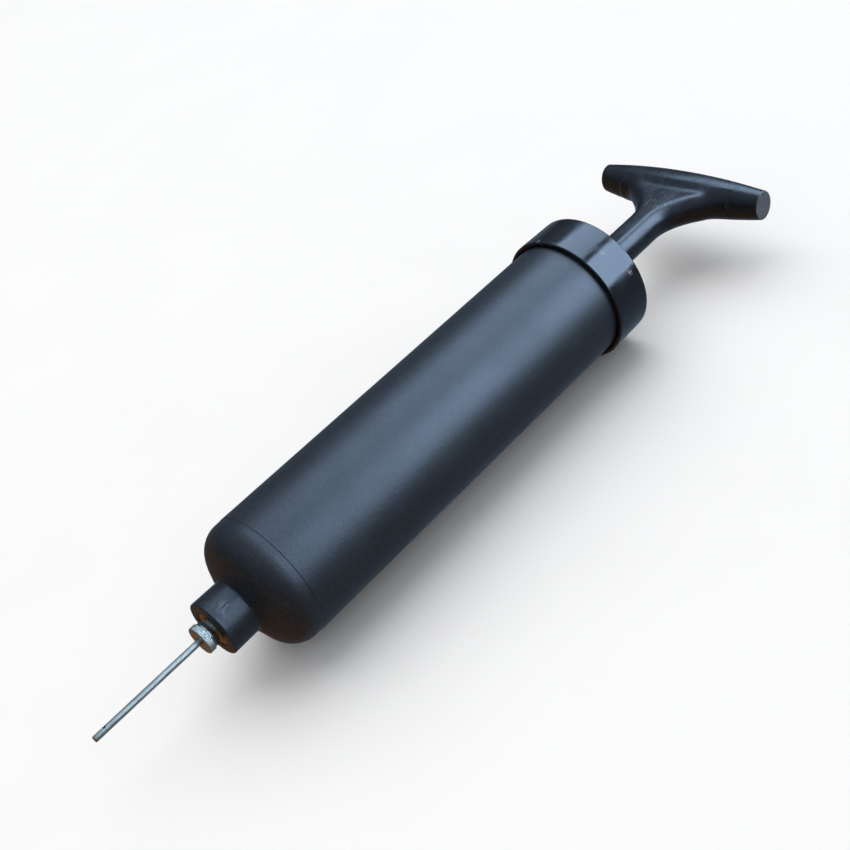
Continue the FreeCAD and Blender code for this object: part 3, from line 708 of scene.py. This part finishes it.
def turned_brass(colours):
    """Turned brass, browned with handling."""
    made = Finish("brass_turned", colours.brass, 0.32, metallic=1.0)
    made.relief(made.clouds(0.12, 0.3, 0.7, (1, 25, 25), 2.0), 3)
    made.paint(made.clouds(1.1, 0.42, 0.66, detail=3.0, seed=1.0), (0.30, 0.17, 0.06), 0.75)
    made.dull(made.clouds(0.8, 0.35, 0.7, detail=3.0, seed=8.0), 0.2)
    return made.material


def seal_rubber(colours):
    """Plain seal rubber with a matt bloom."""
    made = Finish("seal_rubber", colours.rubber, 0.62, specular=0.4)
    made.relief(made.clouds(0.35, 0.3, 0.7, detail=3.0), 8)
    made.paint(made.clouds(1.8, 0.45, 0.75, detail=3.0, seed=2.0), (0.055, 0.053, 0.050), 0.7)
    made.dull(made.clouds(1.0, 0.3, 0.7, seed=4.0), 0.15)
    return made.material


def natural_nylon(colours):
    """Off-white moulding with a soft shine, faint flow clouds and a little grease."""
    made = Finish("natural_nylon", colours.nylon, 0.36)
    made.shader.inputs["Subsurface Weight"].default_value = 0.15
    made.shader.inputs["Subsurface Scale"].default_value = 1.5 * MM
    made.relief(made.clouds(0.6, 0.3, 0.7, detail=3.0), 6)
    made.paint(made.clouds(4.0, 0.4, 0.75, detail=3.0, seed=2.0), (0.60, 0.56, 0.46), 0.6)
    made.dull(made.clouds(2.0, 0.35, 0.7, detail=3.0, seed=6.0), 0.14)
    return made.material


def bright_steel(name, colours, grain, stretch):
    """Bright steel with fine drawing or turning lines and a faint grey-gold passivation."""
    made = Finish(name, colours.steel, 0.28, metallic=1.0)
    made.relief(made.clouds(grain, 0.3, 0.7, stretch, 2.0), 2)
    made.paint(made.clouds(2.2, 0.42, 0.72, detail=3.0, seed=1.0), (0.50, 0.46, 0.38), 0.6)
    made.dull(made.clouds(1.2, 0.35, 0.7, detail=3.0, seed=3.0), 0.14)
    return made.material


def pale_floor(tint):
    """Matt pale floor with the faintest unevenness."""
    made = Finish("floor_paper", tint, 0.85, specular=0.2)
    made.paint(made.clouds(60, 0.3, 0.7, detail=3.0), [c * 0.985 for c in tint], 1.0)
    made.dull(made.clouds(25, 0.3, 0.7), 0.05)
    return made.material


# ---------------------------------------------------------------- operators

def settings():
    return bpy.context.scene.ball_pump


def finish_piece(piece, material, body, slot, *nodes):
    """Gives a new piece its material and its body, and hides the CAD nodes it stands for. The slot
    argument is not used.
    """
    piece.data.materials.append(material)
    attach(piece, body)
    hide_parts(*nodes)
    return piece


def dress_node(name, material):
    """Puts a material on a CAD node that stays as it is."""
    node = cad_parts[name]
    if not node.material_slots:
        raise RuntimeError(f"{name} has no material slot")
    for held in node.material_slots:
        held.material = material


class MakeBarrel(bpy.types.Operator):
    """Barrel with its rounded bottom, boss, mould step and the tower of the outlet valve"""

    bl_idname = "ball_pump.make_barrel"
    bl_label = "Barrel"

    def execute(self, context):
        sizes = settings().barrel
        slope = math.tan(sizes.dome_slope)
        boss_end = BARREL_START + sizes.boss_length
        apex = boss_end - sizes.boss_radius * slope
        floor = apex + sizes.wall
        bore = BARREL_RADIUS - sizes.wall
        seat = INSERT_RADIUS + HIDDEN_GAP
        tower = INSERT_RADIUS + sizes.tower_wall
        step = BARREL_START + sizes.step_place
        low = BARREL_RADIUS - sizes.step_height
        foot = sizes.boss_radius - sizes.boss_length * math.tan(sizes.boss_draft)
        seat_face = DISC_END + HIDDEN_GAP
        outline = closed_outline([
            (BARREL_START, seat),
            (BARREL_START, sizes.boss_radius, sizes.boss_edge),
            (boss_end, foot, sizes.boss_foot),
            (apex + BARREL_RADIUS * slope, low, sizes.dome_corner),
            (step - sizes.step_height, low, sizes.step_height / 2),
            (step + sizes.step_height, BARREL_RADIUS, sizes.step_height / 2),
            (BARREL_END, BARREL_RADIUS, 2 * sizes.step_height),
            (BARREL_END, bore, 2 * sizes.step_height),
            (floor + bore * slope, bore, sizes.dome_corner - sizes.wall),
            (floor + tower * slope, tower, sizes.boss_foot),
            (seat_face + sizes.seat_wall, tower, 2 * sizes.step_height),
            (seat_face + sizes.seat_wall, sizes.seat_hole, 2 * sizes.step_height),
            (seat_face, sizes.seat_hole),
            (seat_face, seat),
        ], 2.5 * MM)
        piece = turned("barrel_shell", outline, 192)
        finish_piece(piece, satin_barrel(settings().finish), "pump_body",
                     "satin_black_plastic", "barrel")
        return {"FINISHED"}


class MakeCap(bpy.types.Operator):
    """Cap over the barrel's open end, and the bush that guides the rod through it"""

    bl_idname = "ball_pump.make_cap"
    bl_label = "Cap and rod guide"

    def execute(self, context):
        sizes = settings().cap
        grip = BARREL_RADIUS + HIDDEN_GAP
        lip = BARREL_RADIUS + sizes.lip_gap
        plate = CAP_END - sizes.plate
        edge, small = sizes.edge, sizes.guide_edge
        cap = turned("barrel_cap_shell", closed_outline([
            (CAP_START, lip, edge / 2),
            (CAP_START, CAP_RADIUS, edge),
            (CAP_END, sizes.top_radius, edge),
            (CAP_END, sizes.hub_radius, small),
            (plate, sizes.hub_radius),
            (plate, grip),
            (CAP_START + sizes.lip_depth, grip),
            (CAP_START + sizes.lip_depth, lip, edge / 2),
        ], 1.5 * MM), 192)
        material = gloss_cap(settings().finish)
        finish_piece(cap, material, "pump_body", "gloss_black_plastic", "barrel_cap")
        hub = sizes.hub_radius - HIDDEN_GAP
        flange_end = GUIDE_START + sizes.guide_flange - HIDDEN_GAP
        guide = turned("rod_guide_bush", closed_outline([
            (GUIDE_START, sizes.guide_bore, small),
            (GUIDE_START, FLANGE_RADIUS, small),
            (flange_end, FLANGE_RADIUS, small),
            (flange_end, hub),
            (GUIDE_END, hub, small),
            (GUIDE_END, sizes.guide_bore, small),
        ], 1.0 * MM), 128)
        finish_piece(guide, material, "pump_body", "gloss_black_plastic", "rod_guide")
        return {"FINISHED"}


def drill_port(tube, place, radius):
    """Cuts a round hole across a tube along Z, and leaves the cut mesh in the tube."""
    count = 32
    bearing = np.arange(count) * TAU / count
    ring = np.stack([place + radius * np.cos(bearing), radius * np.sin(bearing)], -1)
    ends = [np.column_stack([ring, np.full(count, height)]) for height in (-5 * MM, 5 * MM)]
    index = np.arange(count)
    sides = np.stack([index, (index + 1) % count, (index + 1) % count + count, index + count], -1)
    faces = sides.tolist() + [index[::-1].tolist(), (index + count).tolist()]
    mesh = bpy.data.meshes.new("port_drill")
    mesh.from_pydata(np.concatenate(ends), [], faces)
    drill = bpy.data.objects.new("port_drill", mesh)
    bpy.context.scene.collection.objects.link(drill)
    cut = tube.modifiers.new("port", "BOOLEAN")
    cut.operation, cut.solver, cut.object = "DIFFERENCE", "EXACT", drill
    graph = bpy.context.evaluated_depsgraph_get()
    drilled = bpy.data.meshes.new_from_object(tube.evaluated_get(graph))
    if len(drilled.polygons) == len(tube.data.polygons):
        raise RuntimeError("the side port was not cut")
    tube.modifiers.remove(cut)
    tube.data = drilled
    bpy.data.objects.remove(drill)


class MakeNeedle(bpy.types.Operator):
    """Needle tube with its side port, and the knurled, threaded head it sits in"""

    bl_idname = "ball_pump.make_needle"
    bl_label = "Needle and head"

    def execute(self, context):
        sizes = settings().needle
        tube = turned("needle_tube_drawn", closed_outline([
            (TIP, sizes.bore, 0.1 * MM),
            (TIP, NEEDLE_RADIUS, sizes.tip_round),
            (HEAD_START - HIDDEN_GAP, NEEDLE_RADIUS),
            (HEAD_START, sizes.seat_radius - HIDDEN_GAP),
            (SEAT_END, sizes.seat_radius - HIDDEN_GAP),
            (SEAT_END, sizes.bore),
        ], 0.9 * MM), 48)
        drill_port(tube, TIP + sizes.port_setback, sizes.port_radius)
        colours = settings().finish
        finish_piece(tube, drawn_nickel(colours), "needle", "nickel_plate", "needle_tube")

        rim = HEAD_START + sizes.head_rim
        collar = rim + sizes.head_cone
        shank = sizes.shank_radius

        def knurls_and_thread(x, radius, bearing):
            grooves = (0.5 + 0.5 * np.cos(sizes.knurls * bearing)) ** 1.5
            on_rim = ramp(radius, HEAD_RADIUS - 1.3 * sizes.head_edge, HEAD_RADIUS)
            on_rim = on_rim * (x < rim + HIDDEN_GAP)
            on_shank = (np.abs(radius - shank) < 0.05 * MM) * ramp(x, collar, collar + sizes.pitch)
            ridge = thread_ridge(x, bearing, sizes.pitch)
            return -sizes.knurl_depth * grooves * on_rim - sizes.thread_depth * (1 - ridge) * on_shank

        head = turned("needle_head_knurled", closed_outline([
            (HEAD_START, sizes.seat_radius),
            (HEAD_START, HEAD_RADIUS, sizes.head_edge),
            (rim, HEAD_RADIUS, sizes.head_edge),
            (rim + HIDDEN_GAP, HEAD_RADIUS - sizes.head_edge),
            (collar, sizes.collar_radius, 0.1 * MM),
            (collar, shank),
            (SHANK_END, shank, sizes.head_edge),
            (SHANK_END, sizes.bore),
            (HEAD_START + HEAD_SEAT_DEPTH, sizes.bore),
            (HEAD_START + HEAD_SEAT_DEPTH, sizes.seat_radius),
        ], 0.1 * MM), 6 * sizes.knurls, knurls_and_thread)
        finish_piece(head, turned_nickel(colours), "needle", "nickel_plate", "needle_head")
        return {"FINISHED"}


class MakeNozzle(bpy.types.Operator):
    """Threaded metal insert in the boss, and the sealing washer under the needle's head"""

    bl_idname = "ball_pump.make_nozzle"
    bl_label = "Nozzle insert and washer"

    def execute(self, context):
        sizes = settings().needle
        colours = settings().finish
        thread = sizes.shank_radius + 0.05 * MM
        edge = sizes.insert_edge
        third = (INSERT_END - INSERT_START) / 3
        groove = INSERT_RADIUS - sizes.insert_groove

        def inner_thread(x, radius, bearing):
            ridge = thread_ridge(x, bearing, sizes.pitch)
            return sizes.thread_depth * ridge * (np.abs(radius - thread) < 0.01 * MM)

        insert = turned("nozzle_insert_turned", closed_outline([
            (INSERT_START, thread + edge),
            (INSERT_START, INSERT_RADIUS, edge / 2),
            (INSERT_START + third, INSERT_RADIUS),
            (INSERT_START + third, groove),
            (INSERT_END - third, groove),
            (INSERT_END - third, INSERT_RADIUS),
            (INSERT_END, INSERT_RADIUS),
            (INSERT_END, thread),
            (INSERT_START + edge, thread),
        ], 0.11 * MM), 144, inner_thread)
        finish_piece(insert, turned_brass(colours), "pump_body", "brass", "nozzle_insert")
        washer = turned("needle_washer_ring", closed_outline([
            (WASHER_START, thread, 0.15 * MM),
            (WASHER_START, WASHER_RADIUS, 0.25 * MM),
            (WASHER_END, WASHER_RADIUS, 0.25 * MM),
            (WASHER_END, thread, 0.15 * MM),
        ], 0.3 * MM), 96)
        finish_piece(washer, seal_rubber(colours), "washer", "seal_rubber", "needle_washer")
        return {"FINISHED"}


class MakeHandle(bpy.types.Operator):
    """Rod with two flats, flared neck, web and crossbar in one smooth moulding"""

    bl_idname = "ball_pump.make_handle"
    bl_label = "Handle"

    def execute(self, context):
        sizes = settings().handle
        rod_start, back = ROD_START / MM, GRIP_BACK / MM
        end, tall = GRIP_HALF_LENGTH / MM, GRIP_HALF_HEIGHT / MM
        along = spaced((rod_start - 1, rod_start + 1, 0.23), (rod_start + 1, NECK_GRID_START, 3.0),
                       (NECK_GRID_START, back + 1.1, 0.41))
        across = spaced((-end - 0.6, -end + 0.6, 0.11), (-end + 0.6, end - 0.6, 0.42),
                        (end - 0.6, end + 0.6, 0.11))
        upright = spaced((-tall - 0.9, -0.3, 0.41), (-0.3, 0.3, 0.075), (0.3, tall + 0.9, 0.41))
        points, quads = level_surface(handle_field(sizes), (along, across, upright))
        handle = closed_mesh("handle_moulding", points, quads)
        finish_piece(handle, satin_handle(settings().finish), "plunger",
                     "handle_black_plastic", "handle")
        handle.data.materials.append(sawn_end(settings().finish))
        mesh = handle.data
        centres, normals = (np.zeros(len(mesh.polygons) * 3, np.float32) for _ in range(2))
        mesh.polygons.foreach_get("center", centres)
        mesh.polygons.foreach_get("normal", normals)
        sawn = np.abs(centres.reshape(-1, 3)[:, 1]) > GRIP_HALF_LENGTH - 0.2 * MM
        sawn &= np.abs(normals.reshape(-1, 3)[:, 1]) > 0.8
        mesh.polygons.foreach_set("material_index", sawn.astype(np.int32))
        return {"FINISHED"}


class DressInside(bpy.types.Operator):
    """Finishes of the valve, piston, seals and fixings inside the pump"""

    bl_idname = "ball_pump.dress_inside"
    bl_label = "Valve, piston and seals"

    def execute(self, context):
        colours = settings().finish
        rubber = bpy.data.materials["seal_rubber"]
        for name in ("nozzle_gasket", "valve_disc", "cap_bumper", "piston_ring"):
            dress_node(name, rubber)
        nylon = natural_nylon(colours)
        for name in ("valve_retainer", "piston_head"):
            dress_node(name, nylon)
        dress_node("valve_spring", bright_steel("spring_wire", colours, 0.08, (1, 8, 8)))
        plated = bright_steel("zinc_plate", colours, 0.15, (1, 20, 20))
        for name in ("piston_screw", "screw_washer"):
            dress_node(name, plated)
        return {"FINISHED"}


def add_panel(name, bearing, spread, reach, radiance, centre, shift, sizes):
    """
    A soft light panel that looks at the pump from a bearing, measured from straight up towards
    the front, and fills a given spread of it. Its power follows from its radiance and area.
    """
    distance = sizes.light_distance
    way = Vector((0, -math.sin(bearing), math.cos(bearing)))
    lamp = bpy.data.lights.new(name, "AREA")
    lamp.shape = "RECTANGLE"
    lamp.size = reach
    lamp.size_y = 2 * distance * math.tan(spread / 2)
    lamp.color = sizes.light_colour
    lamp.energy = radiance * math.pi * lamp.size * lamp.size_y
    panel = bpy.data.objects.new(name, lamp)
    bpy.context.scene.collection.objects.link(panel)
    side = Vector((1, 0, 0))
    turn = Matrix((side, way.cross(side), way)).transposed()
    panel.matrix_world = Matrix.Translation(centre + way * distance + side * shift) @ turn.to_4x4()
    panel.visible_camera = False
    panel.visible_diffuse = False


class MakeStage(bpy.types.Operator):
    """Camera, pale floor, soft light panels and the room around the pump"""

    bl_idname = "ball_pump.make_stage"
    bl_label = "Stage"

    def execute(self, context):
        sizes = settings().stage
        self.add_camera(sizes)
        self.add_floor(sizes)
        self.add_room()
        middle = Vector(((CAD_BOX[0].x + CAD_BOX[1].x) / 2, 0, 0))
        add_panel("panel_overhead", math.radians(-10), math.radians(50), PANEL_LENGTH,
                  sizes.overhead, middle, PANEL_SHIFT, sizes)
        add_panel("panel_front", math.radians(53), math.radians(56), PANEL_LENGTH,
                  sizes.front, middle, PANEL_SHIFT, sizes)
        self.add_sky_light(sizes)
        context.scene.view_settings.view_transform = "Standard"
        return {"FINISHED"}

    def add_camera(self, sizes):
        """A camera above the near side, in front of the needle's tip, looking back to the handle."""
        camera = bpy.data.objects.new("camera", bpy.data.cameras.new("camera"))
        camera.data.lens, camera.data.sensor_width = sizes.lens, 36
        camera.data.clip_start, camera.data.clip_end = 0.005, 60
        right, up = Vector(CAMERA_RIGHT), Vector(CAMERA_UP)
        turn = Matrix((right, up, right.cross(up))).transposed().to_4x4()
        camera.matrix_world = Matrix.Translation(CAMERA_PLACE) @ turn
        bpy.context.scene.collection.objects.link(camera)
        bpy.context.scene.camera = camera

    def add_sky_light(self, sizes):
        """A very soft light from above and behind, which casts the shadow on the floor."""
        lamp = bpy.data.lights.new("soft_sky", "SUN")
        lamp.energy, lamp.angle = sizes.sky, sizes.sky_spread
        sky = bpy.data.objects.new("soft_sky", lamp)
        sky.rotation_euler = (math.radians(-24), math.radians(14), 0)
        sky.visible_glossy = False
        bpy.context.scene.collection.objects.link(sky)

    def add_floor(self, sizes):
        """A flat square at the height of the cap's lowest line."""
        side = np.linspace(-sizes.floor_size, sizes.floor_size, 9)
        x, y = np.meshgrid(side, side, indexing="ij")
        points = np.stack([x, y, np.full_like(x, FLOOR_HEIGHT)], -1).reshape(-1, 3)
        i, j = np.meshgrid(np.arange(8), np.arange(8), indexing="ij")
        corner = (i * 9 + j).ravel()
        quads = np.stack([corner, corner + 9, corner + 10, corner + 1], -1)
        mesh = bpy.data.meshes.new("floor")
        mesh.from_pydata(points, [], quads)
        mesh.materials.append(pale_floor(sizes.floor_colour))
        floor = bpy.data.objects.new("floor", mesh)
        floor.visible_glossy = False
        bpy.context.scene.collection.objects.link(floor)

    def add_room(self):
        """
        The room's light by direction: cool above, warm brown below towards the needle's end and
        grey-blue below towards the front. It looks white behind the floor.
        """
        world = bpy.data.worlds.new("room")
        world.use_nodes = True
        bpy.context.scene.world = world
        nodes, links = world.node_tree.nodes, world.node_tree.links
        back = nodes["Background"]
        way = nodes.new("ShaderNodeSeparateXYZ")
        links.new(nodes.new("ShaderNodeTexCoord").outputs["Generated"], way.inputs[0])

        def blend(socket, low, high, first, second):
            share = nodes.new("ShaderNodeMapRange")
            share.interpolation_type = "SMOOTHSTEP"
            links.new(socket, share.inputs["Value"])
            share.inputs["From Min"].default_value = low
            share.inputs["From Max"].default_value = high
            mix = nodes.new("ShaderNodeMix")
            mix.data_type = "RGBA"
            links.new(share.outputs["Result"], mix.inputs["Factor"])
            for socket_number, value in ((6, first), (7, second)):
                if isinstance(value, tuple):
                    mix.inputs[socket_number].default_value = (*value, 1)
                else:
                    links.new(value, mix.inputs[socket_number])
            return mix.outputs[2]

        below = blend(way.outputs["X"], -0.35, 0.35, (0.18, 0.095, 0.040), (0.16, 0.22, 0.30))
        above = blend(way.outputs["Z"], 0.1, 0.9, (0.06, 0.08, 0.11), (0.30, 0.42, 0.60))
        room = blend(way.outputs["Z"], -0.12, 0.10, below, above)
        path = nodes.new("ShaderNodeLightPath")
        seen = blend(path.outputs["Is Camera Ray"], 0, 1, room, (1.0, 1.0, 1.0))
        lit = blend(path.outputs["Is Diffuse Ray"], 0, 1, seen, (0.6, 0.6, 0.6))
        links.new(lit, back.inputs["Color"])


MAKERS = (MakeBarrel, MakeCap, MakeNeedle, MakeNozzle, MakeHandle, DressInside, MakeStage)


class PumpPanel(bpy.types.Panel):
    """The pump's sizes, finishes and makers"""

    bl_idname = "VIEW3D_PT_ball_pump"
    bl_label = "Ball Pump"
    bl_space_type = "VIEW_3D"
    bl_region_type = "UI"
    bl_category = "Ball Pump"

    def draw(self, context):
        for maker in MAKERS:
            self.layout.operator(maker.bl_idname)
        pump = context.scene.ball_pump
        for group in (pump.barrel, pump.cap, pump.needle, pump.handle, pump.finish, pump.stage):
            box = self.layout.box()
            for name in group.bl_rna.properties.keys():
                if name not in {"rna_type", "name"}:
                    box.prop(group, name)


CLASSES = (
    BarrelSettings, CapSettings, NeedleSettings, HandleSettings, FinishSettings, StageSettings,
    PumpSettings, *MAKERS, PumpPanel,
)


def register():
    for each in CLASSES:
        bpy.utils.register_class(each)
    bpy.types.Scene.ball_pump = PointerProperty(type=PumpSettings)


def unregister():
    del bpy.types.Scene.ball_pump
    for each in reversed(CLASSES):
        bpy.utils.unregister_class(each)


def main():
    """Registers the classes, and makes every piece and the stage."""
    register()
    bpy.ops.ball_pump.make_barrel()
    bpy.ops.ball_pump.make_cap()
    bpy.ops.ball_pump.make_needle()
    bpy.ops.ball_pump.make_nozzle()
    bpy.ops.ball_pump.make_handle()
    bpy.ops.ball_pump.dress_inside()
    bpy.ops.ball_pump.make_stage()


if __name__ == "__main__":
    main()
